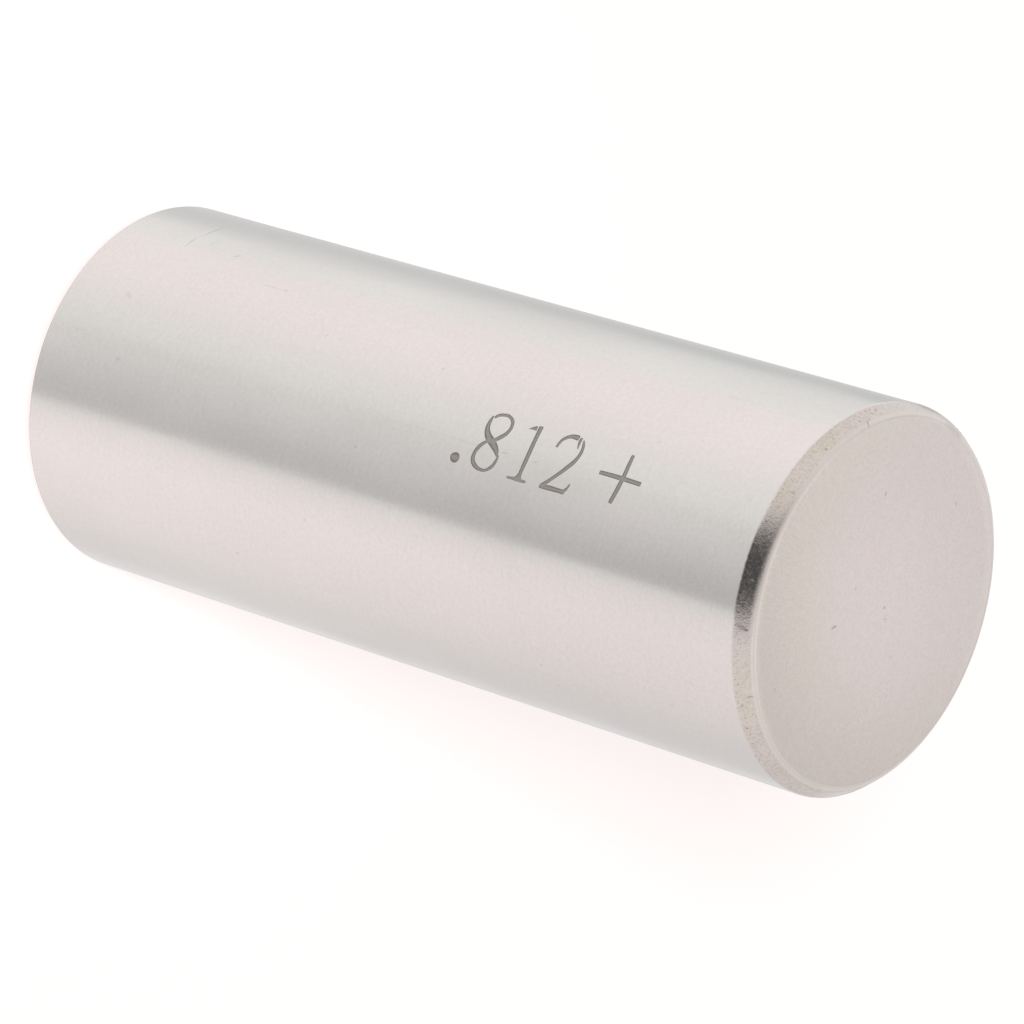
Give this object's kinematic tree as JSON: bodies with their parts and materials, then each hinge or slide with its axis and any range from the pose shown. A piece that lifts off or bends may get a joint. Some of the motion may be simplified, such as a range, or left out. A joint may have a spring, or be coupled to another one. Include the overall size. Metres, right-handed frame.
{
  "type": "pin gauge",
  "caption": "Plain cylindrical pin gauge of ground steel with flat lapped ends, a chamfered lead at one end and a broken edge at the other, standing on one end.",
  "frame": {"origin": "centre of the lower end face", "axes": "+Z along the pin's axis, up towards the end face that shows in the picture; -Y points out of the side of the wall that carries the marking"},
  "size_m": [0.0206, 0.0206, 0.0508],
  "materials": {
    "ground_steel": "hardened steel, cylindrically ground wall and lapped end faces"
  },
  "bodies": {
    "root": {"gauge_pin": "ground_steel"}
  },
  "joints": []
}
